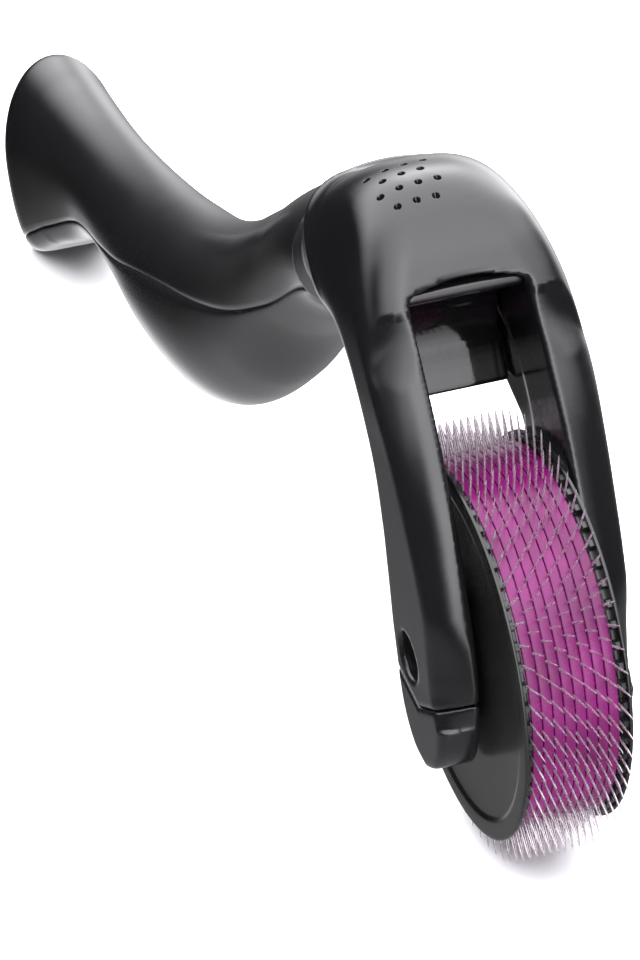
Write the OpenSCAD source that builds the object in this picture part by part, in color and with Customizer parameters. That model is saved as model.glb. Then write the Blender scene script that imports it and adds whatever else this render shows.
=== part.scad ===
// Needle roller for the skin: a slim S-curved handle made of two shells, a
// one-piece yoke with two arms, and a drum of nine etched needle discs that
// turns on a fixed steel axle.
// Frame: +X points from the handle to the drum, Y is the drum's axis, +Z is up.
// The roller lies at rest on its needle tips and on the flat foot at the tail.

/* [Drum] */
// Radius of the circle through the needle tips
tip_r = 13; // [12.6:0.1:13.4]
// Radius of the black end caps
cap_r = 11.5; // [11.2:0.1:11.8]
// Radius of the coloured spacer rings
ring_r = 11; // [10.8:0.1:11.1]
// Distance between two needle discs
disc_pitch = 0.65; // [0.62:0.01:0.66]
// Thickness of one needle disc
disc_t = 0.2; // [0.16:0.02:0.24]
// Width of a needle at its root
needle_w = 0.26; // [0.2:0.02:0.32]

/* [Axle] */
// Radius of the steel axle
axle_r = 1; // [0.9:0.05:1.1]
// Radial play between the axle and its bushes
axle_play = 0.05; // [0.02:0.01:0.08]

/* [Head] */
// Half of the head's width over both arms, at the axle
head_w = 6; // [5.9:0.1:6.3]
// Half of the space between the arms
gap_w = 3.55; // [3.45:0.05:3.6]
// Radius of one grip dimple on the hood
dimple_r = 0.2; // [0.15:0.05:0.3]

/* [Handle] */
// Wall thickness of the handle shells
wall = 1.4; // [1.2:0.1:1.6]
// How far the domed tail end reaches along the handle
dome_l = 7; // [6:0.5:8]

/* [Hidden] */

$fn = 96;
needles = 60;
discs = 9;
drum_x = 53.1;                       // drum axis along X in the part's frame
axis_z = tip_r;                      // height of the drum axis
stack_h = (discs - 1) / 2 * disc_pitch + disc_t / 2;
cap_t = 0.5;                         // thickness of an end cap's flange
core_r = 8;                          // outside of the drum core
core_in = 6.75;                      // inside of the drum core
bush_r = 1.9;                        // outside of a bush
spacer_t = disc_pitch - disc_t;

// Stations down the handle, every 12.4 mm from the neck to the tail:
// height of the centre line, half width, half height.
neck_x = -20;
step_x = 12.4;
handle_st = [
    [30.7, 5.0, 4.3],
    [25.2, 4.8, 4.4],
    [18.4, 5.0, 5.9],
    [13.6, 5.2, 6.9],
    [12.1, 5.0, 6.4],
    [12.3, 4.3, 5.2],
    [12.3, 4.0, 5.1],
    [10.9, 4.7, 7.3],
    [ 9.0, 5.7, 10.2]];
tail_x = neck_x - step_x * (len(handle_st) - 1);

// Catmull-Rom blend between b and c
function cr(a, b, c, d, t) = 0.5 * (2 * b + (c - a) * t
    + (2 * a - 5 * b + 4 * c - d) * t * t
    + (3 * b - a - 3 * c + d) * t * t * t);
function clampi(i, n) = max(0, min(n - 1, i));
function along(list, u) = let (n = len(list), i = clampi(floor(u), n - 1), t = u - i)
    cr(list[clampi(i - 1, n)], list[i], list[clampi(i + 1, n)], list[clampi(i + 2, n)], t);
function closed_curve(p, k) = let (n = len(p)) [for (i = [0:n - 1], j = [0:k - 1])
    cr(p[(i + n - 1) % n], p[i], p[(i + 1) % n], p[(i + 2) % n], j / k)];
function open_curve(p, k) = [for (i = [0:(len(p) - 1) * k]) along(p, i / k)];

// Handle section at x: [height, half width, half height]
function handle_at(x) = along(handle_st, (neck_x - x) / step_x);
// Slope of the centre line at x, in degrees
function handle_tilt(x) = let (a = handle_at(min(neck_x, x + 0.5)), b = handle_at(max(tail_x, x - 0.5)),
    k = min(1, (neck_x - x) / 9) * max(0, min(1, (x - tail_x - 4) / 12)))
    k * atan2(a[0] - b[0], min(neck_x, x + 0.5) - max(tail_x, x - 0.5));
// How much of the section is left inside the domed tail
function dome_s(x) = let (d = (x - tail_x) / dome_l) d >= 1 ? 1 : sqrt(max(0, 1 - (1 - d) * (1 - d)));
// Height of the parting line on the section, as the sine of its angle
seam_st = [-0.5, -0.42, 0.13, 0.4, 0.28, -0.17, -0.55, -0.75, -0.8];
function seam_a(x) = asin(max(-0.9, min(0.5, along(seam_st, (neck_x - x) / step_x))));
// The lower half of the section squares off towards the tail, so that the foot is wide
function square_q(x) = 1 - 0.68 * max(0, min(1, (-88 - x) / 20));
function side_w(x, a) = sin(a) >= 0 ? cos(a) : sign(cos(a)) * pow(abs(cos(a)), square_q(x));
// A point of the section at x, angle a, shrunk by inset and hollowness q
function handle_pt(x, a, inset, q) = let (s = handle_at(x), g = handle_tilt(x), k = dome_s(x),
    w = (s[1] - inset) * q, h = (s[2] - inset) * q,
    px = -h * sin(a) * sin(g), py = w * side_w(x, a), pz = s[0] + h * sin(a) * cos(g))
    [x + px, py * (0.25 + 0.75 * k), max(inset > 0 ? 0.6 : 0, pz) * k];

// Section positions: even down the handle, closer together in the dome
handle_xs = concat(
    [for (i = [0:46]) neck_x - i * (neck_x - tail_x - dome_l) / 46],
    [for (j = [1:7]) tail_x + dome_l * (1 - sin(j * 82 / 7))]);
function hollow(x) = x < tail_x + 18 ? max(0.12, (x - tail_x - 8) / 10 * 0.88 + 0.12) : 1;

// One handle shell: an arc of the section from a0(x) to a1(x), wall thick
module shell(upper) {
    na = 20;
    xs = handle_xs;
    m = 2 * (na + 1);
    pts = [for (x = xs) let (sa = seam_a(x),
            a0 = upper ? sa : 180 - sa, a1 = upper ? 180 - sa : 360 + sa)
        each concat(
            [for (i = [0:na]) handle_pt(x, a0 + (a1 - a0) * i / na, 0, 1)],
            [for (i = [na:-1:0]) handle_pt(x, a0 + (a1 - a0) * i / na, wall, hollow(x))])];
    n = len(xs);
    faces = concat(
        [[for (i = [0:m - 1]) i]],
        [[for (i = [m - 1:-1:0]) (n - 1) * m + i]],
        [for (k = [0:n - 2], i = [0:m - 1]) upper ? [k * m + i, (k + 1) * m + i, (k + 1) * m + (i + 1) % m]
            : [k * m + i, (k + 1) * m + i, k * m + (i + 1) % m]],
        [for (k = [0:n - 2], i = [0:m - 1]) upper ? [k * m + i, (k + 1) * m + (i + 1) % m, k * m + (i + 1) % m]
            : [(k + 1) * m + i, (k + 1) * m + (i + 1) % m, k * m + (i + 1) % m]]);
    polyhedron(points = pts, faces = faces, convexity = 10);
}

module at_drum() { translate([drum_x, 0, 0]) children(); }
// Turns a solid of revolution about Z so that it lies on the drum's axis
module on_axis() { translate([drum_x, 0, axis_z]) rotate([-90, 0, 0]) children(); }
// A side outline in X and Z, made y0 to y1 thick
module side_plate(y0, y1) { translate([0, y1, 0]) rotate([90, 0, 0]) linear_extrude(y1 - y0) children(); }

// ---------------------------------------------------------------- handle
module handle_upper_shell() { color([0.05, 0.05, 0.055]) at_drum() shell(true); }
module handle_lower_shell() { color([0.12, 0.12, 0.13]) at_drum() shell(false); }

// ------------------------------------------------------------------ head
hood_top = [[-16, 35.2], [-13.5, 37.6], [-10.5, 39.2], [-7.4, 39.5], [-4.6, 38.2]];
function hood_z(x) = let (c = open_curve(hood_top, 8), i = [for (j = [0:len(c) - 2]) if (c[j][0] <= x && c[j + 1][0] >= x) j][0])
    c[i][1] + (c[i + 1][1] - c[i][1]) * (x - c[i][0]) / (c[i + 1][0] - c[i][0]);
arm_front = [[-1.8, 34.4], [0.2, 30.6], [2.4, 26.2], [4.2, 21], [5.2, 16.6], [5.4, 13], [4.8, 9.6], [3.3, 7.2], [1.2, 6.2]];
arm_back = [[1.2, 6.2], [-0.8, 6.9], [-2.3, 9.0], [-2.8, 12.5], [-2.6, 17], [-2.4, 21.6], [-2.9, 25.2], [-4.6, 28.2], [-7.8, 30.2], [-12, 30.4], [-16, 30.0]];
head_outline = concat(open_curve(hood_top, 8), [[-2.8, 36.6]], open_curve(arm_front, 5), open_curve(arm_back, 5));

// Head seen from above: full width at the arms, narrower at the neck
module head_plan() {
    p = open_curve([[-16, 4.2], [-13.5, 5.4], [-11, 6.3], [-8, head_w + 0.6], [-4, head_w + 0.7], [8, head_w + 0.7]], 6);
    polygon(concat(p, [for (i = [len(p) - 1:-1:0]) [p[i][0], -p[i][1]]]));
}
// Head seen from the front: straight sides and a crowned top
module head_front() {
    r = open_curve([[head_w, 12], [head_w + 0.2, 20], [head_w + 0.4, 25.6], [head_w + 0.6, 29], [head_w + 0.4, 32.6],
        [head_w - 0.4, 35.6], [head_w - 1.9, 37.9], [2.2, 39.2], [0, 39.6]], 6);
    polygon(concat([[-head_w, 0], [head_w, 0]], r, [for (i = [len(r) - 1:-1:0]) [-r[i][0], r[i][1]]]));
}
module head_block() {
    intersection() {
        side_plate(-10, 10) polygon(head_outline);
        linear_extrude(50) head_plan();
        rotate([90, 0, 90]) translate([0, 0, -30]) linear_extrude(60) head_front();
    }
}
// Flange inside each arm that closes the gap between the arm and the visor's wall
web = [[-1.5, 16], [-3.2, 21], [-4.9, 24.2], [-7.6, 25.8], [-9.6, 28.0], [-10.2, 31], [-1.5, 31]];
module webs() { for (s = [-1, 1]) side_plate(s > 0 ? gap_w : -4.7, s > 0 ? 4.7 : -gap_w) polygon(web); }
// Oval neck that carries the handle's section on into the hood
module neck() {
    s = handle_at(neck_x);
    intersection() {
        translate([neck_x, 0, s[0]]) rotate([0, -27, 0]) rotate([90, 0, 90]) translate([0, 0, -3]) linear_extrude(13)
            polygon([for (a = [0:7.5:359]) [(s[1] + 0.1) * cos(a), (s[2] - 0.45) * sin(a)]]);
        translate([neck_x, -10, 0]) cube([30, 20, 60]);
    }
}
// Side outline of the space between the arms
roof = [[-1.9, 33.9], [-3.2, 34.3], [-5.2, 35.3], [-9, 36]];
cavity = [[14, -2], [14, 33.9], each roof, [-11.6, 35], [-13, 33], [-13, 28.4], [-24, 24], [-24, -2]];
// Everything below the parting line of the axle retainers
module retainer_zone() {
    side_plate(-10, 10) polygon([[-12, 14.4], [0.9, 10.1], [12, 14.4], [12, 0], [-12, 0]]);
}
module retainer_pegs(s, r) {
    for (x = [-1.6, 3.2]) translate([x, s * (head_w + gap_w) / 2, 9]) cylinder(r = r, h = 4, $fn = 32);
}
// Staggered grip dimples on the crown of the hood
module dimples() {
    for (r = [0:3], c = [0:3 - r % 2]) {
        x = -8.8 + r * 1.25;
        y = -1.5 + (c - (3 - r % 2) / 2) * 1.15;
        translate([x, y, hood_z(x) - 0.45]) cylinder(r = dimple_r, h = 3, $fn = 24);
    }
}
module head_yoke() {
    color([0.08, 0.08, 0.09]) at_drum() difference() {
        union() {
            difference() {
                union() {
                    head_block();
                    neck();
                    webs();
                }
                side_plate(-gap_w, gap_w) polygon(cavity);
            }
            // tang that plugs into the handle
            translate([neck_x, 0, 30.6]) rotate([0, -22, 0]) translate([-9, -2.3, -1.5]) cube([10.5, 4.6, 3]);
        }
        retainer_zone();
        for (s = [-1, 1]) retainer_pegs(s, 0.45);
        translate([0, 0, axis_z]) rotate([90, 0, 0]) cylinder(r = axle_r, h = 30, center = true);
        for (s = [-1, 1]) translate([0, s * (head_w + 1), axis_z]) rotate([90, 0, 0]) cylinder(r = 1.5, h = 4, center = true);
        dimples();
        pin_holes();
    }
}
pin_x = -4.8;
module pin_holes() { for (s = [-1, 1]) translate([pin_x, s * 1.6, 34.6]) cylinder(r = 0.35, h = hood_z(pin_x) - 34.6 - 0.35, $fn = 32); }

visor_front = [[-2.3, 34.0], [-2.2, 33.5], [-3.0, 33.0], [-5.2, 32.5], [-6.9, 30.9], [-7.1, 28.6], [-6.0, 26.1]];
visor_back = [[-7.4, 25.9], [-9.2, 29.0], [-13, 29.6], [-13, 30.8], [-9.0, 30.6], [-8.6, 33.0], [-9.4, 35.5]];
module visor() {
    color([0.1, 0.1, 0.11]) at_drum() difference() {
        side_plate(-gap_w, gap_w) polygon(concat([roof[2], roof[1]], open_curve(visor_front, 6), visor_back, [roof[3]]));
        pin_holes();
    }
}
module visor_pins() {
    color([0.3, 0.3, 0.31]) at_drum()
        for (s = [-1, 1]) translate([pin_x, s * 1.6, 34.6]) cylinder(r = 0.35, h = hood_z(pin_x) - 34.6 - 0.35, $fn = 32);
}
module axle_retainer(s) {
    color([0.09, 0.09, 0.1]) at_drum() union() {
        intersection() {
            head_block();
            retainer_zone();
            translate([-20, s > 0 ? gap_w : -20, 0]) cube([40, 20 - gap_w, 30]);
        }
        retainer_pegs(s, 0.45);
    }
}
module left_axle_retainer() { axle_retainer(-1); }
module right_axle_retainer() { axle_retainer(1); }
module axle() {
    color("silver") on_axis() rotate_extrude()
        polygon([[0, -5.4], [axle_r - 0.2, -5.4], [axle_r, -5.2], [axle_r, 5.2], [axle_r - 0.2, 5.4], [0, 5.4]]);
}

// ------------------------------------------------------------------ drum
module key_ribs(g) { for (a = [0, 180]) rotate(a) translate([core_r - 0.5, -0.5 - g, 0]) square([1 + g, 1 + 2 * g]); }
module drum_core() {
    color([0.62, 0.1, 0.5]) on_axis() difference() {
        union() {
            translate([0, 0, -stack_h]) linear_extrude(2 * stack_h) difference() {
                union() { circle(r = core_r); key_ribs(0); }
                circle(r = core_in);
            }
            cylinder(r = core_in + 0.2, h = 1.2, center = true);
        }
        cylinder(r = axle_r + axle_play, h = 10, center = true);
    }
}
module end_cap(s) {
    y0 = stack_h;
    y1 = stack_h + cap_t;
    color([0.07, 0.07, 0.08]) on_axis() mirror([0, 0, s > 0 ? 0 : 1]) difference() {
        union() {
            rotate_extrude() polygon([[0, y0 - 1.5], [core_in - 0.05, y0 - 1.5], [core_in - 0.05, y0],
                [ring_r - 0.1, y0], [ring_r - 0.1, y0 + 0.3], [cap_r, y0 + 0.3], [cap_r, y1 - 0.2], [cap_r - 0.25, y1],
                [cap_r - 1.2, y1], [cap_r - 1.4, y1 - 0.15], [4.4, y1 - 0.15], [4.2, y1], [0, y1]]);
            // toothed inner rim that guides the outermost needles
            translate([0, 0, y0 + 0.02]) linear_extrude(0.35)
                polygon([for (i = [0:needles - 1]) each [
                    [(cap_r - 0.1) * cos(i * 6 - 1.9), (cap_r - 0.1) * sin(i * 6 - 1.9)],
                    [(cap_r - 0.1) * cos(i * 6 + 1.1), (cap_r - 0.1) * sin(i * 6 + 1.1)],
                    [ring_r * cos(i * 6 + 2.2), ring_r * sin(i * 6 + 2.2)],
                    [ring_r * cos(i * 6 + 3.0), ring_r * sin(i * 6 + 3.0)]]]);
        }
        cylinder(r = bush_r, h = 20, center = true);
    }
}
module left_end_cap() { end_cap(-1); }
module right_end_cap() { end_cap(1); }
module bush(s) {
    color([0.85, 0.85, 0.82]) on_axis() mirror([0, 0, s > 0 ? 0 : 1]) rotate_extrude()
        polygon([[axle_r + axle_play, 0.6], [bush_r, 0.6], [bush_r, stack_h + cap_t], [2.7, stack_h + cap_t],
            [2.7, stack_h + cap_t + 0.15], [axle_r + axle_play, stack_h + cap_t + 0.15]]);
}
module left_bush() { bush(-1); }
module right_bush() { bush(1); }

// One etched disc: a thin ring with a crown of pointed needles
module needle_disc(i) {
    off = i % 2 == 0 ? 3 : 0;
    hw = needle_w / 2;
    color([0.8, 0.78, 0.8]) on_axis() translate([0, 0, (i - (discs + 1) / 2) * disc_pitch - disc_t / 2])
        linear_extrude(disc_t) difference() {
            polygon([for (k = [0:needles - 1]) let (a = k * 6 + off, b = asin(hw / 10.6)) each [
                [10.6 * cos(a - b), 10.6 * sin(a - b)],
                [(tip_r - 0.5) * cos(a) + hw * 0.55 * sin(a), (tip_r - 0.5) * sin(a) - hw * 0.55 * cos(a)],
                [tip_r * cos(a), tip_r * sin(a)],
                [(tip_r - 0.5) * cos(a) - hw * 0.55 * sin(a), (tip_r - 0.5) * sin(a) + hw * 0.55 * cos(a)],
                [10.6 * cos(a + b), 10.6 * sin(a + b)],
                [10.4 * cos(a + 3), 10.4 * sin(a + 3)]]]);
            circle(r = core_r);
            key_ribs(0);
        }
}
module needle_disc_1() { needle_disc(1); }
module needle_disc_2() { needle_disc(2); }
module needle_disc_3() { needle_disc(3); }
module needle_disc_4() { needle_disc(4); }
module needle_disc_5() { needle_disc(5); }
module needle_disc_6() { needle_disc(6); }
module needle_disc_7() { needle_disc(7); }
module needle_disc_8() { needle_disc(8); }
module needle_disc_9() { needle_disc(9); }

module spacer_ring(i) {
    color([0.72, 0.12, 0.58]) on_axis() translate([0, 0, (i - discs / 2) * disc_pitch - spacer_t / 2])
        linear_extrude(spacer_t) difference() {
            circle(r = ring_r);
            circle(r = core_r);
            key_ribs(0);
        }
}
module spacer_ring_1() { spacer_ring(1); }
module spacer_ring_2() { spacer_ring(2); }
module spacer_ring_3() { spacer_ring(3); }
module spacer_ring_4() { spacer_ring(4); }
module spacer_ring_5() { spacer_ring(5); }
module spacer_ring_6() { spacer_ring(6); }
module spacer_ring_7() { spacer_ring(7); }
module spacer_ring_8() { spacer_ring(8); }

handle_upper_shell();
handle_lower_shell();
head_yoke();
visor();
visor_pins();
left_axle_retainer();
right_axle_retainer();
axle();
drum_core();
left_end_cap();
right_end_cap();
left_bush();
right_bush();
needle_disc_1();
needle_disc_2();
needle_disc_3();
needle_disc_4();
needle_disc_5();
needle_disc_6();
needle_disc_7();
needle_disc_8();
needle_disc_9();
spacer_ring_1();
spacer_ring_2();
spacer_ring_3();
spacer_ring_4();
spacer_ring_5();
spacer_ring_6();
spacer_ring_7();
spacer_ring_8();
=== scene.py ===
import math
from itertools import product

import bpy
import numpy as np
from mathutils import Matrix, Vector


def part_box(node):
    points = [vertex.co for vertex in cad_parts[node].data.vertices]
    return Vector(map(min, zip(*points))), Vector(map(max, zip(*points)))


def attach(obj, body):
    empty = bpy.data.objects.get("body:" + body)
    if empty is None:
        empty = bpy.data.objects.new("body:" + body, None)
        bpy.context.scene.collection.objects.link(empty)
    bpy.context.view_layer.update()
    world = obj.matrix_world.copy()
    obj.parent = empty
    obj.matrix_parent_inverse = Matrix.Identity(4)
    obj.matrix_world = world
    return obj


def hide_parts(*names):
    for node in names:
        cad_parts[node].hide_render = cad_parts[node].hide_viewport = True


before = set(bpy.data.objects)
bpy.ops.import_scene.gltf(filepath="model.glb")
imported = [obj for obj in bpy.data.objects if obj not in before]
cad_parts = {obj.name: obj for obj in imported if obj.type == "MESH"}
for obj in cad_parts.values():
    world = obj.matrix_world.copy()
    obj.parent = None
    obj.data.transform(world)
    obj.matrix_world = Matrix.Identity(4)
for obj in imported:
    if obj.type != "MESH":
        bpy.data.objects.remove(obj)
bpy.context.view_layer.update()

MM = 0.001
FIXED, DRUM = "handle_and_head", "drum"

# Drum axis in the row frame, in millimetres, from the needle discs' own box
lo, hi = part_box("needle_disc_5")
DX = (lo.x + hi.x) / 2 / MM
AZ = (lo.z + hi.z) / 2 / MM

# ------------------------------------------------------------------ curves


def cr(a, b, c, d, t):
    return 0.5 * (2 * b + (c - a) * t + (2 * a - 5 * b + 4 * c - d) * t * t + (3 * b - a - 3 * c + d) * t * t * t)


def along(pts, u):
    pts = np.asarray(pts, float)
    n = len(pts)
    u = np.asarray(u, float)
    i = np.clip(np.floor(u).astype(int), 0, n - 1)
    t = (u - i)[..., None]
    g = lambda k: pts[np.clip(i + k, 0, n - 1)]
    return cr(g(-1), g(0), g(1), g(2), t)


def open_curve(p, k):
    return along(p, np.arange((len(p) - 1) * k + 1) / k)


def smoothstep(a, b, x):
    t = np.clip((x - a) / (b - a), 0, 1)
    return t * t * (3 - 2 * t)


# ------------------------------------------------------------- mesh helpers


def new_object(name, verts, faces, body, mats, mat_index=None, smooth=True, nodes=()):
    """verts in millimetres, in the row frame"""
    me = bpy.data.meshes.new(name)
    verts = np.asarray(verts, float) * MM
    me.from_pydata(verts.tolist(), [], [tuple(int(i) for i in f) for f in faces])
    for m in mats:
        me.materials.append(m)
    if mat_index is not None:
        me.polygons.foreach_set("material_index", np.asarray(mat_index, np.int32))
    me.polygons.foreach_set("use_smooth", np.full(len(me.polygons), smooth, bool))
    me.validate()
    me.update()
    ob = bpy.data.objects.new(name, me)
    bpy.context.scene.collection.objects.link(ob)
    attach(ob, body)
    for n in nodes:
        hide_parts(n)
    return ob


def sharp_by_angle(ob, degrees):
    me = ob.data
    me.set_sharp_from_angle(angle=math.radians(degrees))
    return ob


# ---------------------------------------------------- distance-field meshes


def poly_sdf(poly, X, Y):
    P = np.stack([X.ravel(), Y.ravel()], 1)
    poly = np.asarray(poly, float)
    d2 = np.full(len(P), 1e9)
    inside = np.zeros(len(P), bool)
    for a, b in zip(poly, np.roll(poly, -1, 0)):
        e = b - a
        L = e @ e
        if L < 1e-12:
            continue
        w = P - a
        t = np.clip(w @ e / L, 0, 1)
        d2 = np.minimum(d2, ((w - t[:, None] * e) ** 2).sum(1))
        c = (a[1] > P[:, 1]) != (b[1] > P[:, 1])
        with np.errstate(divide="ignore", invalid="ignore"):
            xi = a[0] + (P[:, 1] - a[1]) / (b[1] - a[1]) * e[0]
        inside ^= c & (P[:, 0] < xi)
    d = np.sqrt(d2)
    return np.where(inside, -d, d).reshape(X.shape)


def smax(a, b, k):
    h = np.maximum(k - np.abs(a - b), 0) / k
    return np.maximum(a, b) + h * h * k * 0.25


def smin(a, b, k):
    return -smax(-a, -b, k)


def surface_net(f, origin, h):
    s = f < 0
    n = np.array(f.shape)
    cnt = np.zeros(n - 1, np.uint8)
    for i, j, k in product((0, 1), repeat=3):
        cnt += s[i:n[0] - 1 + i, j:n[1] - 1 + j, k:n[2] - 1 + k]
    ci = np.argwhere((cnt > 0) & (cnt < 8))
    ids = np.full(n - 1, -1, np.int64)
    ids[ci[:, 0], ci[:, 1], ci[:, 2]] = np.arange(len(ci))
    acc, num = np.zeros((len(ci), 3)), np.zeros(len(ci))
    for ax in range(3):
        b, c = [(1, 2), (0, 2), (0, 1)][ax]
        for ob_, oc in product((0, 1), repeat=2):
            o = np.zeros(3, int)
            o[b], o[c] = ob_, oc
            p0 = ci + o
            p1 = p0.copy()
            p1[:, ax] += 1
            f0 = f[p0[:, 0], p0[:, 1], p0[:, 2]]
            f1 = f[p1[:, 0], p1[:, 1], p1[:, 2]]
            m = (f0 < 0) != (f1 < 0)
            t = f0[m] / (f0[m] - f1[m])
            pos = p0[m].astype(float)
            pos[:, ax] += t
            acc[m] += pos
            num[m] += 1
    v = acc / num[:, None]
    faces = []
    for ax in range(3):
        b, c = (ax + 1) % 3, (ax + 2) % 3
        lo_, hi_ = [slice(None)] * 3, [slice(None)] * 3
        lo_[ax], hi_[ax] = slice(0, -1), slice(1, None)
        m = s[tuple(lo_)] != s[tuple(hi_)]
        for q in (b, c):
            sl = [slice(None)] * 3
            sl[q] = slice(0, 1)
            m[tuple(sl)] = False
            sl[q] = slice(-1, None)
            m[tuple(sl)] = False
        e = np.argwhere(m)
        if not len(e):
            continue
        eb, ec = np.zeros(3, int), np.zeros(3, int)
        eb[b], ec[c] = 1, 1
        g = lambda p: ids[p[:, 0], p[:, 1], p[:, 2]]
        q = np.stack([g(e - eb - ec), g(e - ec), g(e), g(e - eb)], 1)
        ins = s[e[:, 0], e[:, 1], e[:, 2]]
        q[~ins] = q[~ins][:, ::-1]
        faces.append(q)
    faces = np.concatenate(faces)
    # two Newton steps on the interpolated field bring the points onto the surface
    gr = np.gradient(f)

    def tri(a, p):
        i = np.clip(p.astype(int), 0, n - 2)
        t = p - i
        r = 0
        for x, y, z in product((0, 1), repeat=3):
            w = (t[:, 0] if x else 1 - t[:, 0]) * (t[:, 1] if y else 1 - t[:, 1]) * (t[:, 2] if z else 1 - t[:, 2])
            r = r + w * a[i[:, 0] + x, i[:, 1] + y, i[:, 2] + z]
        return r
    for _ in range(2):
        F = tri(f, v)
        G = np.stack([tri(g_, v) for g_ in gr], 1)
        L2 = np.maximum((G * G).sum(1), 1e-6)
        step = -(F / L2)[:, None] * G
        ln = np.linalg.norm(step, axis=1, keepdims=True)
        v = v + step * np.minimum(1, 0.35 / np.maximum(ln, 1e-9))
    return v * h + origin, faces


# ------------------------------------------------------------------ handle

NECK_X, STEP_X = -20.0, 12.4
HANDLE = np.array([[30.7, 5.0, 4.3], [25.2, 4.8, 4.4], [18.4, 5.0, 5.9], [13.6, 5.2, 6.9], [12.1, 5.0, 6.4],
                   [12.3, 4.3, 5.2], [12.3, 4.0, 5.1], [10.9, 4.7, 7.3], [9.0, 5.7, 10.2]])
TAIL_X = NECK_X - STEP_X * (len(HANDLE) - 1)
DOME = 7.0
SEAM = np.array([[-0.5], [-0.42], [0.13], [0.4], [0.28], [-0.17], [-0.55], [-0.75], [-0.8]])


def handle_at(x):
    return along(HANDLE, (NECK_X - np.asarray(x, float)) / STEP_X)


def handle_tilt(x):
    x = np.asarray(x, float)
    xa, xb = np.minimum(NECK_X, x + 0.5), np.maximum(TAIL_X, x - 0.5)
    a, b = handle_at(xa)[..., 0], handle_at(xb)[..., 0]
    k = np.minimum(1, (NECK_X - x) / 9) * np.clip((x - TAIL_X - 4) / 12, 0, 1)
    return k * np.arctan2(a - b, xa - xb)


def seam_angle(x):
    s = along(SEAM, (NECK_X - np.asarray(x, float)) / STEP_X)[..., 0]
    return np.arcsin(np.clip(s, -0.9, 0.5))


def handle_pt(x, a, inset, q):
    """x, a, inset, q broadcast together; returns millimetres, drum-centred"""
    s = handle_at(x)
    g = handle_tilt(x)
    d = (x - TAIL_X) / DOME
    k = np.where(d >= 1, 1, np.sqrt(np.maximum(0, 1 - (1 - d) ** 2)))
    w, h = (s[..., 1] - inset) * q, (s[..., 2] - inset) * q
    sq = 1 - 0.68 * np.clip((-88 - x) / 20, 0, 1)
    ca, sa = np.cos(a), np.sin(a)
    side = np.where(sa >= 0, ca, np.sign(ca) * np.abs(ca) ** sq)
    px, py, pz = -h * sa * np.sin(g), w * side, s[..., 0] + h * sa * np.cos(g)
    floor = np.where(inset > 0.5, 0.6, 0.0)
    # the foot's points are held at or above the floor line
    r = 0.35
    pz = np.where(pz - floor > r * 2, pz, floor + np.maximum(0, pz - floor + 0.0))
    return np.stack([x + px, py * (0.25 + 0.75 * k), np.maximum(floor, pz) * k], -1)


def shell_mesh(upper):
    n1 = 150
    xs = np.concatenate([NECK_X - np.linspace(0, 1, n1) * (NECK_X - TAIL_X - DOME),
                         TAIL_X + DOME * (1 - np.sin(np.radians(np.linspace(82 / 24, 82, 24))))])
    wall = 1.4
    hol = np.where(xs < TAIL_X + 18, np.maximum(0.12, (xs - TAIL_X - 8) / 10 * 0.88 + 0.12), 1)
    sa = seam_angle(xs)
    a0 = sa if upper else math.pi - sa
    a1 = math.pi - sa if upper else 2 * math.pi + sa
    # section parameters: outer arc with a small round at both lips, then the inner arc back
    na = 84
    rnd = np.array([0.0, 0.012, 0.028, 0.05, 0.08])           # share of the arc near a lip
    t = np.concatenate([rnd, np.linspace(0.08, 0.92, na)[1:-1], 1 - rnd[::-1]])
    s = handle_at(xs)
    arc = (a1 - a0) * np.maximum(2.0, 0.5 * (s[:, 1] + s[:, 2]))   # rough arc length
    lip = 0.16
    rows = []
    for ti in t:
        dist = np.minimum(ti, 1 - ti) * arc                   # mm from the lip
        u = np.clip(dist / 0.42, 0, 1)
        inset = lip * (1 - np.sqrt(np.maximum(0, 1 - (1 - u) ** 2)))
        rows.append(handle_pt(xs, a0 + (a1 - a0) * ti, inset, np.ones_like(xs)))
    for ti in np.linspace(1, 0, 30):
        ang = a0 + (a1 - a0) * ti
        rows.append(handle_pt(xs, ang, np.full_like(xs, wall), hol))
    P = np.stack(rows, 1)                                      # (len xs, m, 3)
    m = P.shape[1]
    verts = P.reshape(-1, 3).copy()
    nx = len(xs)
    faces = []
    for k in range(nx - 1):
        for i in range(m):
            j = (i + 1) % m
            faces.append((k * m + i, (k + 1) * m + i, (k + 1) * m + j, k * m + j))
    no = len(t)
    ni = m - no
    # end walls: strips between the outer and the inner arc
    for base, flip in ((0, False), ((nx - 1) * m, True)):
        outer = [base + i for i in range(no)]
        inner = [base + m - 1 - int(round(i * (ni - 1) / (no - 1))) for i in range(no)]
        for i in range(no - 1):
            q = [outer[i], outer[i + 1], inner[i + 1], inner[i]]
            q = [v for n_, v in enumerate(q) if v not in q[:n_]]
            if len(q) >= 3:
                faces.append(tuple(q[::-1]) if not flip else tuple(q))
    verts[:, 0] += DX
    return verts, faces


# -------------------------------------------------------------------- head

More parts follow.
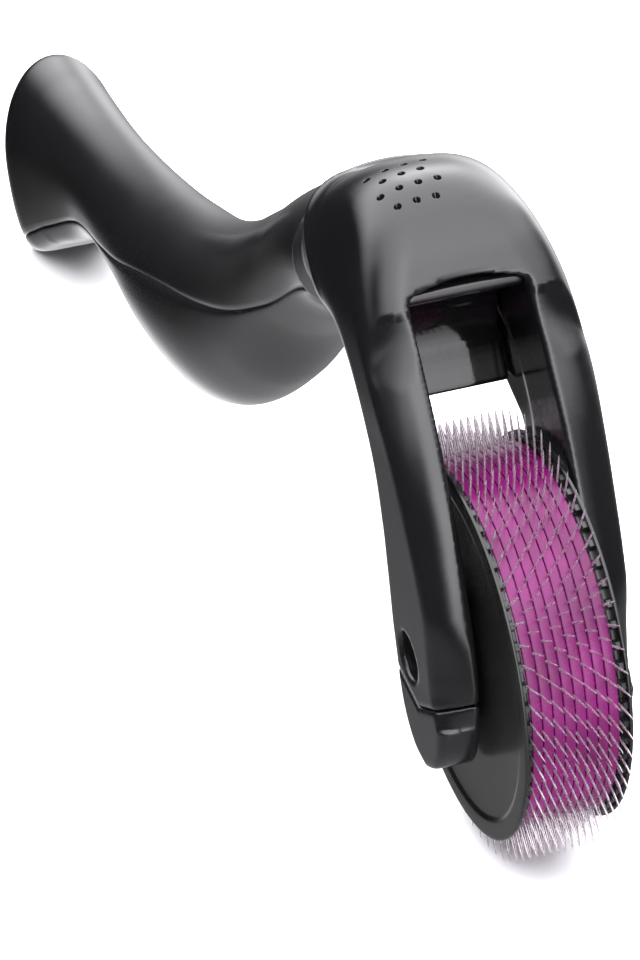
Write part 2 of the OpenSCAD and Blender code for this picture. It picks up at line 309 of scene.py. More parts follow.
HEAD_W, GAP_W = 6.0, 3.55
hood_top = [[-16, 35.2], [-13.5, 37.6], [-10.5, 39.2], [-7.4, 39.5], [-4.6, 38.2]]
arm_front = [[-1.8, 34.4], [0.2, 30.6], [2.4, 26.2], [4.2, 21], [5.2, 16.6], [5.4, 13], [4.8, 9.6], [3.3, 7.2], [1.2, 6.2]]
arm_back = [[1.2, 6.2], [-0.8, 6.9], [-2.3, 9.0], [-2.8, 12.5], [-2.6, 17], [-2.4, 21.6], [-2.9, 25.2], [-4.6, 28.2], [-7.8, 30.2], [-12, 30.4], [-16, 30.0]]
head_outline = np.concatenate([open_curve([*hood_top, [-3.05, 36.55], *arm_front], 10), open_curve(arm_back, 8)[1:]])
p_ = open_curve([[-16, 4.2], [-13.5, 5.4], [-11, 6.3], [-8, HEAD_W + 0.6], [-4, HEAD_W + 0.7], [8, HEAD_W + 0.7]], 6)
head_plan = np.concatenate([p_, (p_ * [1, -1])[::-1]])
r_ = open_curve([[HEAD_W, 12], [HEAD_W + 0.2, 20], [HEAD_W + 0.4, 25.6], [HEAD_W + 0.6, 29], [HEAD_W + 0.4, 32.6],
                 [HEAD_W - 0.35, 35.6], [HEAD_W - 1.6, 38.2], [2.4, 40.1], [0, 40.8]], 6)
head_front = np.concatenate([[[-HEAD_W, 0], [HEAD_W, 0]], r_, (r_ * [-1, 1])[::-1]])
roof = [[-1.9, 33.9], [-3.2, 34.3], [-5.2, 35.3], [-9, 36]]
cavity = [[14, -2], [14, 33.9], *roof, [-11.6, 35], [-13, 33], [-13, 28.4], [-24, 24], [-24, -2]]
visor_front = [[-2.3, 34.0], [-2.2, 33.5], [-3.0, 33.0], [-5.2, 32.5], [-6.9, 30.9], [-7.1, 28.6], [-6.0, 26.1]]
visor_back = [[-7.4, 25.9], [-9.2, 29.0], [-13, 29.6], [-13, 30.8], [-9.0, 30.6], [-8.6, 33.0], [-9.4, 35.5]]
web = [[-1.5, 16], [-3.2, 21], [-4.9, 24.2], [-7.6, 25.8], [-9.6, 28.0], [-10.2, 31], [-1.5, 31]]
PIN_X, PIN_Y = -4.8, 1.6


def hood_z(x):
    c = open_curve(hood_top, 8)
    return float(np.interp(x, c[:, 0], c[:, 1]))


def grid(lo_, hi_, h):
    ax = [np.arange(a, b + h, h) for a, b in zip(lo_, hi_)]
    return ax


def head_field(ax):
    x, y, z = ax
    X, Y, Z = x[:, None, None], y[None, :, None], z[None, None, :]
    gx, gz = np.meshgrid(x, z, indexing="ij")
    d_side = poly_sdf(head_outline, gx, gz)[:, None, :]
    gx2, gy2 = np.meshgrid(x, y, indexing="ij")
    d_plan = poly_sdf(head_plan, gx2, gy2)[:, :, None]
    gy3, gz3 = np.meshgrid(y, z, indexing="ij")
    d_front = poly_sdf(head_front, gy3, gz3)[None, :, :]
    k = 0.55 + 1.9 * smoothstep(25, 34, Z)
    # the front of each arm leans back a little towards its outer face
    front_w = smoothstep(0.5, 2.5, X + (Z - 13) * 0.2) * (1 - smoothstep(31, 35, Z))
    d_side = d_side + 0.07 * np.maximum(np.abs(Y) - GAP_W, 0) * front_w
    d = smax(smax(d_front, d_plan, 0.5), d_side, k)
    # black bevel that sweeps along the outer front edge of each arm and leaves a lens-shaped flat beside the gap
    yb = 5.75 - 0.45 * smoothstep(14, 22, Z) * (1 - smoothstep(22, 31, Z)) - 1.9 * smoothstep(28.5, 32.5, Z) * (1 - smoothstep(32.5, 36, Z)) \
        - 1.5 * (1 - smoothstep(13.5, 18.5, Z))
    yb = np.minimum(yb, 5.35)
    tb = 0.62 * (1 - smoothstep(30, 35, Z)) * smoothstep(9, 12.5, Z)
    bev = (d_side + (np.abs(Y) - yb) * tb) / np.sqrt(1 + tb * tb)
    use = smoothstep(0.05, 0.2, tb) * np.ones_like(d)
    front_side = smoothstep(-1.0, 1.0, X - (1.2 - (Z - 13) * 0.18))
    bev = np.where(use * front_side > 0.02, bev - (1 - use * front_side) * 3, -9)
    d = smax(d, bev, 0.5)
    if z[-1] > 30:
        s = handle_at(NECK_X)
        t = math.radians(27)
        u = (X - NECK_X) * math.cos(t) + (Z - s[0]) * math.sin(t)
        w = -(X - NECK_X) * math.sin(t) + (Z - s[0]) * math.cos(t)
        a, b = s[1] + 0.1, s[2] - 0.45
        q = np.sqrt((Y / a) ** 2 + (w / b) ** 2)
        neck = np.maximum(np.maximum((q - 1) * min(a, b), np.abs(u - 2.2) - 5.2), NECK_X - X)
        d = smin(d, neck, 2.4 * smoothstep(NECK_X, NECK_X + 3, X) + 0.01)
        flange = np.maximum(poly_sdf(web, gx, gz)[:, None, :], np.maximum(GAP_W - np.abs(Y), np.abs(Y) - 4.7))
        d = smin(d, flange, 0.5)
    # space between the arms; its upper edge, the lip, bows with the crown
    bow = 0.55 * (1 - (y / GAP_W) ** 2) * (np.abs(y) < GAP_W)
    f_cav = poly_sdf(cavity, gx, gz)
    d_cav = np.empty((len(x), len(y), len(z)))
    for j in range(len(y)):
        if bow[j] > 0.02 and z[-1] > 30:
            zz = z - bow[j] * smoothstep(-4.5, -2.5, x)[:, None]
            k0 = np.clip((zz - z[0]) / (z[1] - z[0]), 0, len(z) - 1.001)
            i0 = k0.astype(int)
            fr = k0 - i0
            rowi = np.arange(len(x))[:, None]
            d_cav[:, j, :] = f_cav[rowi, i0] * (1 - fr) + f_cav[rowi, i0 + 1] * fr
        else:
            d_cav[:, j, :] = f_cav
    d_cav = smax(d_cav, np.abs(Y) - GAP_W + 0 * X, 0.5)
    d = smax(d, -d_cav, 0.3)
    return d, (X, Y, Z), (gx, gz)


def zone_field(gx, gz):
    return poly_sdf([[-12, 14.4], [0.9, 10.1], [12, 14.4], [12, 0], [-12, 0]], gx, gz)[:, None, :]


def build_yoke(h):
    ax = grid((-31.6, -7.3, 9.2), (6.1, 7.3, 40.2), h)
    d, (X, Y, Z), (gx, gz) = head_field(ax)
    zone = zone_field(gx, gz)
    t = math.radians(22)
    u = (X - NECK_X) * math.cos(t) + (Z - 30.6) * math.sin(t)
    w = -(X - NECK_X) * math.sin(t) + (Z - 30.6) * math.cos(t)
    tang = smax(smax(np.abs(u + 3.75) - 5.25, np.abs(Y) - 2.3, 0.3), np.abs(w) - 1.5, 0.3)
    d = np.minimum(d, tang)
    d = smax(d, -(zone - 0.03), 0.22)
    # axle seat and the counterbore that shows on the arm's outer face
    ra = np.sqrt(X ** 2 + (Z - AZ) ** 2)
    d = smax(d, -(ra - 1.0 + 0 * Y), 0.1)
    d = smax(d, -np.maximum(ra - 1.5, (HEAD_W - 1.0) - np.abs(Y)), 0.14)
    for s_ in (-1, 1):
        cyl = np.maximum(np.sqrt((X - PIN_X) ** 2 + (Y - s_ * PIN_Y) ** 2) - 0.35, np.maximum(34.6 - Z, Z - hood_z(PIN_X) + 0.35))
        d = smax(d, -cyl, 0.08)
    return surface_net(d, np.array([ax[0][0], ax[1][0], ax[2][0]]), h)


def dimple_spots():
    out = []
    for r in range(4):
        nrow = 4 - r % 2
        for c in range(nrow):
            out.append((DX - 8.8 + r * 1.25, -1.5 + (c - (nrow - 1) / 2) * 1.15))
    return out


def press_dimples(ob, radius, depth):
    """cuts the crown's mesh finer round each spot and presses a small flat-bottomed dimple into it"""
    import bmesh
    spots = dimple_spots()
    bm = bmesh.new()
    bm.from_mesh(ob.data)
    top = max(v.co.z for v in bm.verts)
    for cut in range(3):
        reach = (radius * 2.6, radius * 1.9, radius * 1.55)[cut]
        es = []
        for e in bm.edges:
            m = (e.verts[0].co + e.verts[1].co) / 2 / MM
            if m.z < top / MM - 4.5 or m.x < DX - 12 or m.x > DX - 2:
                continue
            if any((m.x - sx) ** 2 + (m.y - sy) ** 2 < (reach + 0.05) ** 2 for sx, sy in spots):
                es.append(e)
        bmesh.ops.subdivide_edges(bm, edges=es, cuts=1, use_grid_fill=True)
    for v in bm.verts:
        p = v.co / MM
        if p.z < top / MM - 4.5 or p.x < DX - 12 or p.x > DX - 2:
            continue
        for sx, sy in spots:
            r = math.hypot(p.x - sx, p.y - sy)
            if r < radius * 1.25:
                t = min(1, max(0, (radius * 1.2 - r) / (radius * 0.42)))
                v.co.z -= depth * t * t * (3 - 2 * t) * MM
                break
    bm.to_mesh(ob.data)
    bm.free()
    ob.data.update()


def build_retainer(sign, h):
    y0, y1 = (3.3, 6.4)
    rng = (y0, y1) if sign > 0 else (-y1, -y0)
    ax = grid((-3.4, rng[0], 5.7), (6.0, rng[1], 15.0), h)
    d, (X, Y, Z), (gx, gz) = head_field(ax)
    zone = zone_field(gx, gz)
    d = smax(d, zone + 0.02, 0.3)
    for x0 in (-1.6, 3.2):
        peg = np.maximum(np.sqrt((X - x0) ** 2 + (np.abs(Y) - (HEAD_W + GAP_W) / 2) ** 2) - 0.45, np.maximum(10.4 - Z, Z - 13))
        d = np.minimum(d, peg)
    ra = np.sqrt(X ** 2 + (Z - AZ) ** 2)
    d = smax(d, -(ra - 1.0 + 0 * Y), 0.1)
    d = smax(d, -np.maximum(ra - 1.5, (HEAD_W - 1.0) - np.abs(Y)), 0.14)
    return surface_net(d, np.array([ax[0][0], ax[1][0], ax[2][0]]), h)


def build_visor(h):
    ax = grid((-13.4, -3.9, 25.4), (-0.9, 3.9, 36.4), h)
    x, y, z = ax
    gx, gz = np.meshgrid(x, z, indexing="ij")
    prof = np.concatenate([[roof[2], roof[1]], open_curve(visor_front, 6), visor_back, [roof[3]]])
    d = poly_sdf(prof, gx, gz)[:, None, :]
    X, Y, Z = x[:, None, None], y[None, :, None], z[None, None, :]
    d = smax(d, np.abs(Y) - GAP_W + 0.01, 0.3)
    for s_ in (-1, 1):
        cyl = np.maximum(np.sqrt((X - PIN_X) ** 2 + (Y - s_ * PIN_Y) ** 2) - 0.35, 34.6 - Z)
        d = smax(d, -cyl, 0.05)
    return surface_net(d, np.array([x[0], y[0], z[0]]), h)


# -------------------------------------------------------------------- drum


def lathe(profile, seg, phase=0.0):
    """closed profile of (radius, y) turned about the drum's axis"""
    prof = np.asarray(profile, float)
    n = len(prof)
    a = np.arange(seg) * 2 * math.pi / seg + phase
    V = np.zeros((seg, n, 3))
    V[:, :, 0] = DX + prof[None, :, 0] * np.cos(a)[:, None]
    V[:, :, 2] = AZ + prof[None, :, 0] * np.sin(a)[:, None]
    V[:, :, 1] = prof[None, :, 1]
    faces = []
    for i in range(seg):
        j = (i + 1) % seg
        for k in range(n):
            l = (k + 1) % n
            faces.append((i * n + k, i * n + l, j * n + l, j * n + k))
    return V.reshape(-1, 3), faces


def round_profile(pts, r, k=4):
    """rounds each corner of a closed polygon by r (or a per-corner list)"""
    pts = np.asarray(pts, float)
    n = len(pts)
    rs = r if hasattr(r, "__len__") else [r] * n
    out = []
    for i in range(n):
        p, a, b = pts[i], pts[i - 1], pts[(i + 1) % n]
        if rs[i] <= 0:
            out.append(p)
            continue
        da, db = a - p, b - p
        la, lb = np.linalg.norm(da), np.linalg.norm(db)
        t = min(rs[i], 0.45 * la, 0.45 * lb)
        p0, p1 = p + da / la * t, p + db / lb * t
        for s in np.linspace(0, 1, k + 1):
            out.append((1 - s) ** 2 * p0 + 2 * s * (1 - s) * p + s * s * p1)
    return np.array(out)


def orient(ob):
    """faces point outwards"""
    import bmesh
    bm = bmesh.new()
    bm.from_mesh(ob.data)
    bmesh.ops.recalc_face_normals(bm, faces=bm.faces)
    bm.to_mesh(ob.data)
    bm.free()
    ob.data.update()
    return ob


PITCH, DISC_T, STACK, CAP_T = 0.65, 0.2, 2.7, 0.5
CORE_R, CORE_IN, RING_R, CAP_R, TIP_R, BUSH_R = 8.0, 6.75, 11.0, 11.5, 13.0, 1.9
NEEDLES, DISCS = 60, 9


def needle_disc_mesh(i):
    y0 = (i - (DISCS + 1) / 2) * PITCH
    off = 3.0 if i % 2 == 0 else 0.0
    t = DISC_T / 2
    V, F = [], []
    rv = 10.5
    # flat ring: inner circle, outer circle, both sides
    seg = NEEDLES * 4
    a = np.radians(np.arange(seg) * 360 / seg + off)
    for r, y in ((CORE_R + 0.01, -t), (rv, -t), (rv, t), (CORE_R + 0.01, t)):
        V += [(DX + r * math.cos(q), y0 + y, AZ + r * math.sin(q)) for q in a]
    for s in range(seg):
        e = (s + 1) % seg
        for k in range(4):
            l = (k + 1) % 4
            F.append((k * seg + s, l * seg + s, l * seg + e, k * seg + e))
    # needles: slender tapered spikes, oval at the root and round at the tip
    st = [(10.3, 0.086, 0.08), (11.3, 0.076, 0.07), (12.1, 0.062, 0.06), (12.6, 0.044, 0.044), (12.88, 0.021, 0.021), (TIP_R, 0.004, 0.004)]
    ns = 8
    for k in range(NEEDLES):
        ang = math.radians(k * 6 + off)
        ur = np.array([math.cos(ang), 0, math.sin(ang)])
        ut = np.array([-math.sin(ang), 0, math.cos(ang)])
        uy = np.array([0, 1.0, 0])
        base = len(V)
        c0 = np.array([DX, y0, AZ])
        for r, wt, wy in st:
            for s in range(ns):
                q = 2 * math.pi * s / ns
                V.append(tuple(c0 + ur * r + ut * wt * math.cos(q) + uy * wy * math.sin(q)))
        for m in range(len(st) - 1):
            for s in range(ns):
                e = (s + 1) % ns
                F.append((base + m * ns + s, base + m * ns + e, base + (m + 1) * ns + e, base + (m + 1) * ns + s))
        F.append(tuple(base + s for s in range(ns))[::-1])
        F.append(tuple(base + (len(st) - 1) * ns + s for s in range(ns)))
    return V, F


def spacer_mesh(i):
    yc = (i - DISCS / 2) * PITCH
    w = (PITCH - DISC_T) / 2
    wo = PITCH / 2 - 0.022
    prof = round_profile([(CORE_R + 0.01, yc - w), (10.62, yc - w), (10.62, yc - wo), (RING_R, yc - wo), (RING_R, yc + wo),
                          (10.62, yc + wo), (10.62, yc + w), (CORE_R + 0.01, yc + w)], [0.05, 0, 0, 0.07, 0.07, 0, 0, 0.05], 4)
    return lathe(prof, 240)


def cap_mesh(s):
    y0, y1 = STACK, STACK + CAP_T
    pts = [(BUSH_R, y0 - 1.5), (CORE_IN - 0.05, y0 - 1.5), (CORE_IN - 0.05, y0), (RING_R - 0.1, y0), (RING_R - 0.1, y0 + 0.3),
           (CAP_R, y0 + 0.3), (CAP_R, y1 - 0.02), (CAP_R - 0.12, y1), (CAP_R - 1.1, y1), (CAP_R - 1.35, y1 - 0.15), (4.5, y1 - 0.15), (4.2, y1), (BUSH_R, y1)]
    prof = round_profile(pts, [0, 0.1, 0, 0, 0, 0.04, 0.1, 0.06, 0.1, 0.1, 0.1, 0.1, 0.03], 4)
    prof = prof * [1, s]
    V, F = lathe(prof, 360)
    V, F = V.tolist(), list(F)
    # toothed inner rim between the flange and the first needle disc
    for k in range(NEEDLES):
        ang = [k * 6 - 1.0, k * 6 + 1.0, k * 6 + 1.9, k * 6 - 1.9]
        rad = [CAP_R - 0.2, CAP_R - 0.2, RING_R - 0.25, RING_R - 0.25]
        base = len(V)
        for y in (y0 + 0.02, y0 + 0.34):
            for a_, r in zip(ang, rad):
                V.append((DX + r * math.cos(math.radians(a_)), s * y, AZ + r * math.sin(math.radians(a_))))
        F += [(base, base + 1, base + 2, base + 3), (base + 7, base + 6, base + 5, base + 4)]
        for q in range(4):
            w = (q + 1) % 4
            F.append((base + q, base + 4 + q, base + 4 + w, base + w))
    return V, F


# --------------------------------------------------------------- materials


def principled(name, color, rough, **kw):
    m = bpy.data.materials.new(name)
    m.use_nodes = True
    b = m.node_tree.nodes["Principled BSDF"]
    b.inputs["Base Color"].default_value = (*color, 1)
    b.inputs["Roughness"].default_value = rough
    for k_, v in kw.items():
        b.inputs[k_.replace("_", " ")].default_value = v
    return m, m.node_tree, b


def add_noise(nt, scale, detail=3.0, rough=0.5, coord="Object"):
    tc = nt.nodes.new("ShaderNodeTexCoord")
    n = nt.nodes.new("ShaderNodeTexNoise")
    n.inputs["Scale"].default_value = scale
    n.inputs["Detail"].default_value = detail
    n.inputs["Roughness"].default_value = rough
    nt.links.new(tc.outputs[coord], n.inputs["Vector"])
    return n


def ramp(nt, src, stops):
    r = nt.nodes.new("ShaderNodeValToRGB")
    el = r.color_ramp.elements
    while len(el) < len(stops):
        el.new(0.5)
    for e, (p, c) in zip(el, stops):
        e.position = p
        e.color = (*c, 1) if hasattr(c, "__len__") else (c, c, c, 1)
    nt.links.new(src, r.inputs["Fac"])
    return r


def map_range(nt, src, a, b, c, d):
    n = nt.nodes.new("ShaderNodeMapRange")
    n.inputs["From Min"].default_value = a
    n.inputs["From Max"].default_value = b
    n.inputs["To Min"].default_value = c
    n.inputs["To Max"].default_value = d
    nt.links.new(src, n.inputs["Value"])
    return n


def bump(nt, b, heights, strength=0.1, distance=0.0001):
    prev = None
    for src, st, dist in heights:
        n = nt.nodes.new("ShaderNodeBump")
        n.inputs["Strength"].default_value = st
        n.inputs["Distance"].default_value = dist
        nt.links.new(src, n.inputs["Height"])
        if prev is not None:
            nt.links.new(prev.outputs["Normal"], n.inputs["Normal"])
        prev = n
    nt.links.new(prev.outputs["Normal"], b.inputs["Normal"])


def moulded_plastic(name, c_lo, c_hi, r_lo, r_hi, wear=0.5, orange=0.02, spec=0.5):
    """moulded plastic: faint mottling, fine orange peel, soft wear and dust on exposed edges"""
    m, nt, b = principled(name, c_lo, r_lo)
    b.inputs["Specular IOR Level"].default_value = spec
    big = add_noise(nt, 55, 4, 0.55)
    col = ramp(nt, big.outputs["Fac"], [(0.3, c_lo), (0.72, c_hi)])
    geo = nt.nodes.new("ShaderNodeNewGeometry")
    edge = map_range(nt, geo.outputs["Pointiness"], 0.515, 0.57, 0.0, wear)
    mix = nt.nodes.new("ShaderNodeMix")
    mix.data_type = "RGBA"
    nt.links.new(edge.outputs["Result"], mix.inputs["Factor"])
    nt.links.new(col.outputs["Color"], mix.inputs["A"])
    worn = ramp(nt, add_noise(nt, 900, 5, 0.6).outputs["Fac"], [(0.35, [c * 1.35 for c in c_hi]), (0.7, [c * 2.2 for c in c_hi])])
    nt.links.new(worn.outputs["Color"], mix.inputs["B"])
    nt.links.new(mix.outputs["Result"], b.inputs["Base Color"])
    smear = add_noise(nt, 160, 6, 0.62)
    rr = map_range(nt, smear.outputs["Fac"], 0.3, 0.75, r_lo, r_hi)
    nt.links.new(rr.outputs["Result"], b.inputs["Roughness"])
    fine = add_noise(nt, 1400, 2, 0.5)
    vfine = add_noise(nt, 9000, 2, 0.5)
    bump(nt, b, [(fine.outputs["Fac"], orange, 0.00006), (vfine.outputs["Fac"], orange * 1.5, 0.00001)])
    return m


gloss_black = moulded_plastic("gloss_black_plastic", (0.004, 0.004, 0.0045), (0.007, 0.007, 0.0075), 0.16, 0.22, 0.35, 0.05)
head_black = moulded_plastic("head_black_plastic", (0.004, 0.004, 0.0045), (0.007, 0.007, 0.0075), 0.12, 0.18, 0.35, 0.05)
visor_black = moulded_plastic("visor_black_plastic", (0.004, 0.004, 0.0042), (0.007, 0.007, 0.0072), 0.05, 0.1, 0.3, 0.04)
satin_black = moulded_plastic("satin_black_plastic", (0.005, 0.005, 0.005), (0.008, 0.008, 0.008), 0.16, 0.26, 0.4, 0.06)

# spacer rings: translucent-looking magenta purple, glossy, with faint flow lines round the ring
purple, nt, b = principled("purple_plastic", (0.26, 0.008, 0.19), 0.14)
b.inputs["Specular IOR Level"].default_value = 0.28
b.inputs["Coat Weight"].default_value = 0.03
b.inputs["Coat Roughness"].default_value = 0.08
n1 = add_noise(nt, 260, 4, 0.55)
c1 = ramp(nt, n1.outputs["Fac"], [(0.28, (0.07, 0.0015, 0.043)), (0.55, (0.115, 0.0025, 0.072)), (0.8, (0.18, 0.008, 0.12))])
nt.links.new(c1.outputs["Color"], b.inputs["Base Color"])
n2 = add_noise(nt, 700, 5, 0.6)
r1 = map_range(nt, n2.outputs["Fac"], 0.3, 0.75, 0.2, 0.32)
nt.links.new(r1.outputs["Result"], b.inputs["Roughness"])
bump(nt, b, [(n2.outputs["Fac"], 0.12, 0.00005)])

# needle discs: etched stainless steel
steel, nt, b = principled("etched_steel", (0.62, 0.56, 0.6), 0.26, Metallic=0.8)
n1 = add_noise(nt, 1800, 3, 0.5)
c1 = ramp(nt, n1.outputs["Fac"], [(0.3, (0.5, 0.44, 0.48)), (0.7, (0.78, 0.7, 0.76))])
nt.links.new(c1.outputs["Color"], b.inputs["Base Color"])
r1 = map_range(nt, n1.outputs["Fac"], 0.3, 0.7, 0.16, 0.32)
nt.links.new(r1.outputs["Result"], b.inputs["Roughness"])
bump(nt, b, [(n1.outputs["Fac"], 0.2, 0.00001)])

# axle: dark oiled steel with turning marks
pin, nt, b = principled("dark_pin_steel", (0.06, 0.06, 0.062), 0.3, Metallic=1.0)
n1 = add_noise(nt, 2500, 4, 0.6)
c1 = ramp(nt, n1.outputs["Fac"], [(0.3, (0.035, 0.035, 0.037)), (0.75, (0.1, 0.1, 0.105))])
nt.links.new(c1.outputs["Color"], b.inputs["Base Color"])
r1 = map_range(nt, n1.outputs["Fac"], 0.3, 0.7, 0.24, 0.42)
nt.links.new(r1.outputs["Result"], b.inputs["Roughness"])
bump(nt, b, [(n1.outputs["Fac"], 0.3, 0.00001)])

# bushes: natural nylon
nylon, nt, b = principled("bush_nylon", (0.72, 0.71, 0.66), 0.42)
n1 = add_noise(nt, 1200, 4, 0.6)
c1 = ramp(nt, n1.outputs["Fac"], [(0.3, (0.62, 0.61, 0.56)), (0.75, (0.78, 0.77, 0.72))])
nt.links.new(c1.outputs["Color"], b.inputs["Base Color"])
r1 = map_range(nt, n1.outputs["Fac"], 0.3, 0.7, 0.36, 0.52)
nt.links.new(r1.outputs["Result"], b.inputs["Roughness"])
bump(nt, b, [(n1.outputs["Fac"], 0.2, 0.00003)])

# ------------------------------------------------------------------ pieces

for name, up in (("handle_top_shell", True), ("handle_bottom_shell", False)):
    V, F = shell_mesh(up)
    ob = new_object(name, V, F, FIXED, [gloss_black], nodes=["handle_upper_shell" if up else "handle_lower_shell"])
    orient(ob)
    sharp_by_angle(ob, 50)

H = 0.18
off = np.array([DX, 0, 0])
V, F = build_yoke(H)
yoke = new_object("yoke_body", V + off, F, FIXED, [head_black], nodes=["head_yoke"])
press_dimples(yoke, 0.2, 0.34)
yoke.data.polygons.foreach_set("use_smooth", np.ones(len(yoke.data.polygons), bool))
V, F = build_visor(0.14)
new_object("visor_insert", V + off, F, FIXED, [visor_black], nodes=["visor"])
for s_, nm in ((-1, "left_axle_retainer"), (1, "right_axle_retainer")):
    V, F = build_retainer(s_, 0.12)
    new_object(nm.replace("axle_", "axle_clip_"), V + off, F, FIXED, [head_black], nodes=[nm])

for i in range(1, DISCS + 1):
    V, F = needle_disc_mesh(i)
    ob = new_object(f"needle_ring_{i}", V, F, DRUM, [steel], nodes=[f"needle_disc_{i}"])
    orient(ob)
    sharp_by_angle(ob, 60)
for i in range(1, DISCS):
    V, F = spacer_mesh(i)
    ob = new_object(f"purple_spacer_{i}", V, F, DRUM, [purple], nodes=[f"spacer_ring_{i}"])
    orient(ob)
for s_, nm in ((-1, "left_end_cap"), (1, "right_end_cap")):
    V, F = cap_mesh(s_)
    ob = new_object(nm.replace("end_cap", "drum_cap"), V, F, DRUM, [satin_black], nodes=[nm])
    orient(ob)
    sharp_by_angle(ob, 40)

KEEP = {"axle": (pin, "pin_steel"), "visor_pins": (head_black, "gloss_black"), "drum_core": (purple, "purple_plastic"),
        "left_bush": (nylon, "bush_nylon"), "right_bush": (nylon, "bush_nylon")}
for n, (mat, sl) in KEEP.items():
    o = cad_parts[n]
    o.data.materials.clear()
    o.data.materials.append(mat)

# ------------------------------------------------------------ stage, lights


def stage_plane(name, size, loc, rot, mat):
    me = bpy.data.meshes.new(name)
    a = size / 2
    me.from_pydata([(-a, -a, 0), (a, -a, 0), (a, a, 0), (-a, a, 0)], [], [(0, 1, 2, 3)])
    me.materials.append(mat)
    ob = bpy.data.objects.new(name, me)
    bpy.context.scene.collection.objects.link(ob)
    ob.location = loc
    ob.rotation_euler = rot
    return ob


floor_mat, nt, b = principled("floor_paint", (0.86, 0.86, 0.87), 0.6)
b.inputs["Specular IOR Level"].default_value = 0.1
n1 = add_noise(nt, 12, 3, 0.5)
c1 = ramp(nt, n1.outputs["Fac"], [(0.3, (0.85, 0.85, 0.86)), (0.7, (0.88, 0.88, 0.89))])
nt.links.new(c1.outputs["Color"], b.inputs["Base Color"])
floor = stage_plane("floor", 6.0, (0, 0, 0), (0, 0, 0), floor_mat)
floor.visible_glossy = False
# studio glow: a soft bright ceiling, a tall window in front, a second one at the side, dark walls between
world = bpy.data.worlds.new("studio")
bpy.context.scene.world = world
world.use_nodes = True
wn = world.node_tree
bg = wn.nodes["Background"]
bg.inputs["Color"].default_value = (0.97, 0.97, 1.0, 1)
wdir = wn.nodes.new("ShaderNodeTexCoord").outputs["Generated"]


def wmath(op, a_, b_=None, clamp=False):
    n = wn.nodes.new("ShaderNodeMath")
    n.operation = op
    n.use_clamp = clamp
    for k_, v in enumerate((a_, b_)):
        if v is None:
            continue
        if isinstance(v, (int, float)):
            n.inputs[k_].default_value = v
        else:
            wn.links.new(v, n.inputs[k_])
    return n.outputs[0]


def wdot(v):
    n = wn.nodes.new("ShaderNodeVectorMath")
    n.operation = "DOT_PRODUCT"
    n.inputs[1].default_value = tuple(v)
    wn.links.new(wdir, n.inputs[0])
    return n.outputs["Value"]


def wstep(v, a_, b_, top):
    n = wn.nodes.new("ShaderNodeMapRange")
    n.interpolation_type = "SMOOTHSTEP"
    for k_, q in (("From Min", a_), ("From Max", b_), ("To Min", 0.0), ("To Max", top)):
        n.inputs[k_].default_value = q
    wn.links.new(v, n.inputs["Value"])
    return n.outputs["Result"]


def glow(az, el, wide, high, top):
    az, el = math.radians(az), math.radians(el)
    c = Vector((math.cos(el) * math.cos(az), math.cos(el) * math.sin(az), math.sin(el)))
    t = Vector((-math.sin(az), math.cos(az), 0))
    u = c.cross(t)
    q = wmath("ADD", wmath("POWER", wmath("ABSOLUTE", wmath("DIVIDE", wdot(t), wide)), 2.0),
              wmath("POWER", wmath("ABSOLUTE", wmath("DIVIDE", wdot(u), high)), 2.0))
    return wmath("MULTIPLY", wmath("EXPONENT", wmath("MULTIPLY", q, -1.0)), wstep(wdot(c), 0.0, 0.3, top))


up = wdot((0, 0, 1))
ceiling = wmath("MULTIPLY", wstep(up, 0.2, 0.72, 4.7), wmath("SUBTRACT", 1.0, glow(290, 32, 0.5, 0.4, 0.95)))
total = ceiling
for part in (wstep(wmath("MULTIPLY", up, -1.0), 0.25, 0.65, 0.4), glow(9, 6, 0.19, 0.5, 6.2), glow(128, 14, 0.33, 0.36, 4.6),
             glow(160, 42, 0.2, 0.2, 3.0), glow(148, 6, 0.34, 0.28, 1.7), glow(176, -27, 0.14, 0.14, 1.6)):
    total = wmath("ADD", total, part)
wn.links.new(total, bg.inputs["Strength"])

# pale backdrop that only the camera sees, so that low views end in a pale wall
back_mat = bpy.data.materials.new("backdrop_paint")
back_mat.use_nodes = True
nb = back_mat.node_tree
nb.nodes.remove(nb.nodes["Principled BSDF"])
em = nb.nodes.new("ShaderNodeEmission")
em.inputs["Color"].default_value = (0.93, 0.93, 0.94, 1)
em.inputs["Strength"].default_value = 0.95
nb.links.new(em.outputs["Emission"], nb.nodes["Material Output"].inputs["Surface"])
seg, R = 64, 2.9
V = [(R * math.cos(2 * math.pi * i / seg), R * math.sin(2 * math.pi * i / seg), z) for z in (-0.01, 4.0) for i in range(seg)]
F = [(i, (i + 1) % seg, seg + (i + 1) % seg, seg + i) for i in range(seg)]
me = bpy.data.meshes.new("backdrop")
me.from_pydata(V, [], F)
me.materials.append(back_mat)
bd = bpy.data.objects.new("backdrop", me)
bpy.context.scene.collection.objects.link(bd)
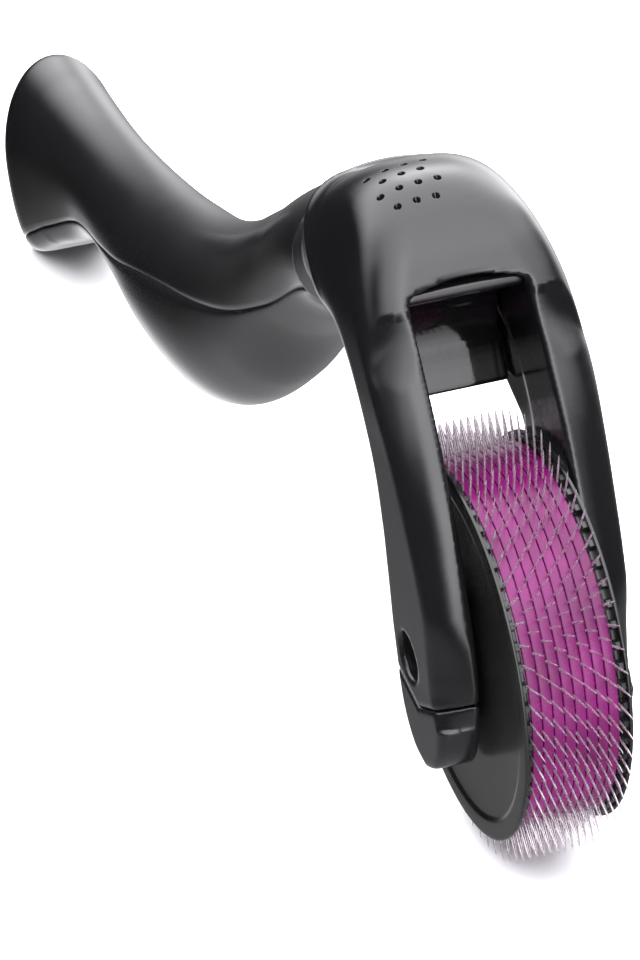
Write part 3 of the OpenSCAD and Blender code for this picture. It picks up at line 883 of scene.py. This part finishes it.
for a_ in ("visible_diffuse", "visible_glossy", "visible_transmission", "visible_volume_scatter", "visible_shadow"):
    setattr(bd, a_, False)


def area(name, loc, target, sx, sy, radiance, color=(1, 1, 1), glossy=True, diffuse=True):
    """softbox: radiance in units where a white floor facing it fully is about 1"""
    ld = bpy.data.lights.new(name, "AREA")
    ld.shape = "RECTANGLE"
    ld.size, ld.size_y = sx, sy
    ld.energy = radiance * math.pi * sx * sy
    ld.color = color
    ob = bpy.data.objects.new(name, ld)
    bpy.context.scene.collection.objects.link(ob)
    ob.location = loc
    d = Vector(target) - Vector(loc)
    ob.rotation_euler = d.to_track_quat("-Z", "Y").to_euler()
    ob.visible_camera = False
    ob.visible_glossy = glossy
    ob.visible_diffuse = diffuse
    return ob


C0 = (0.02, 0, 0.02)
area("floor_fill", (0.05, 0.1, 0.9), (0.0, 0, 0.0), 1.6, 1.6, 0.9, glossy=False)

# ------------------------------------------------------------------ camera

a_, e_, r_2 = math.radians(75), math.radians(24), math.radians(6)
back = Vector((math.sin(a_) * math.cos(e_), -math.cos(a_) * math.cos(e_), math.sin(e_)))
right = Vector((math.cos(a_), math.sin(a_), 0))
up = back.cross(right)
right2 = math.cos(r_2) * right - math.sin(r_2) * up
up2 = math.sin(r_2) * right + math.cos(r_2) * up
FPX = 3268.0
v = Vector(((506 - 320) / FPX, -(634 - 480) / FPX, -1)).normalized()
target = Vector((DX, 0, 13.0))
cam_at = target - 190 * (v.x * right2 + v.y * up2 + v.z * back)
cd = bpy.data.cameras.new("camera")
cd.sensor_fit = "AUTO"
cd.sensor_width = 36
cd.lens = FPX * 36 / 960
cd.clip_start, cd.clip_end = 0.01, 50
cam = bpy.data.objects.new("camera", cd)
bpy.context.scene.collection.objects.link(cam)
M = Matrix((right2, up2, back)).transposed().to_4x4()
M.translation = cam_at * MM
cam.matrix_world = M
bpy.context.scene.camera = cam

vs = bpy.context.scene.view_settings
vs.view_transform = "Standard"
vs.look = "None"
vs.exposure = 0.0
vs.gamma = 1.0

bpy.context.view_layer.update()
